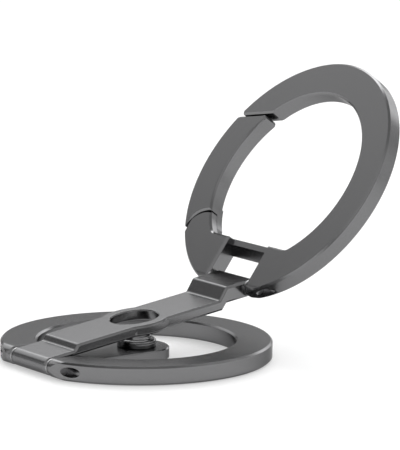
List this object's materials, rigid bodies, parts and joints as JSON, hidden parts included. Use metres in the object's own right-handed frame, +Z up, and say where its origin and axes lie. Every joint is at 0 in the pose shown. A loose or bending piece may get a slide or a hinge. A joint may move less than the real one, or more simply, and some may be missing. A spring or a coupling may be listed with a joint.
{
  "type": "folding magnetic phone stand",
  "caption": "Folding metal stand: a flat magnetic base ring, a stepped hinged arm and a tilted magnetic ring whose curved gate opens like a carabiner.",
  "frame": {"origin": "centre of the lower ring, on the table", "axes": "+Z up; +X from the lower hinge towards the upper ring; +Y towards the gate's side"},
  "size_m": [0.084, 0.056, 0.0567],
  "materials": {
    "gunmetal_paint": "satin",
    "polished_post": "polished",
    "pin_steel": "satin",
    "washer_steel": "satin",
    "nickel_magnet": "satin",
    "soft_pad": "matte"
  },
  "bodies": {
    "base": {"base_ring": "gunmetal_paint", "base_pad": "soft_pad", "base_magnet_01": "nickel_magnet", "base_magnet_02": "nickel_magnet", "base_magnet_03": "nickel_magnet", "base_magnet_04": "nickel_magnet", "base_magnet_05": "nickel_magnet", "base_magnet_06": "nickel_magnet", "base_magnet_07": "nickel_magnet", "base_magnet_08": "nickel_magnet", "base_magnet_09": "nickel_magnet", "base_magnet_10": "nickel_magnet", "base_magnet_11": "nickel_magnet", "base_magnet_12": "nickel_magnet", "base_magnet_13": "nickel_magnet", "base_magnet_14": "nickel_magnet", "catch_post": "polished_post", "base_hinge_pin": "pin_steel", "base_washer_left": "washer_steel", "base_washer_right": "washer_steel"},
    "arm": {"hinge_arm": "gunmetal_paint"},
    "ring": {"carabiner_ring": "gunmetal_paint", "ring_pad": "soft_pad", "ring_magnet_01": "nickel_magnet", "ring_magnet_02": "nickel_magnet", "ring_magnet_03": "nickel_magnet", "ring_magnet_04": "nickel_magnet", "ring_magnet_05": "nickel_magnet", "ring_magnet_06": "nickel_magnet", "ring_magnet_07": "nickel_magnet", "ring_magnet_08": "nickel_magnet", "ring_magnet_09": "nickel_magnet", "ring_hinge_pin": "pin_steel", "ring_washer_left": "washer_steel", "ring_washer_right": "washer_steel", "gate_pin": "pin_steel", "gate_spring": "pin_steel"},
    "gate": {"gate": "gunmetal_paint"}
  },
  "joints": [
    {"name": "base_hinge", "type": "hinge", "parent": "base", "child": "arm", "pos_m": [-0.0249, 0, 0.00205], "axis": [0, -1, 0], "range_deg": [-8, 157]},
    {"name": "ring_hinge", "type": "hinge", "parent": "arm", "child": "ring", "pos_m": [0.02427, 0, 0.0129], "axis": [0, -1, 0], "range_deg": [-45.6, 134.4]},
    {"name": "gate_hinge", "type": "hinge", "parent": "ring", "child": "gate", "pos_m": [0.02913, 0.01711, 0.01949], "axis": [0.8049, 0, -0.5934], "range_deg": [0, 16], "stiffness_Nm_per_rad": 0.03, "springref_deg": -20.05, "deforming": ["gate_spring"]}
  ]
}
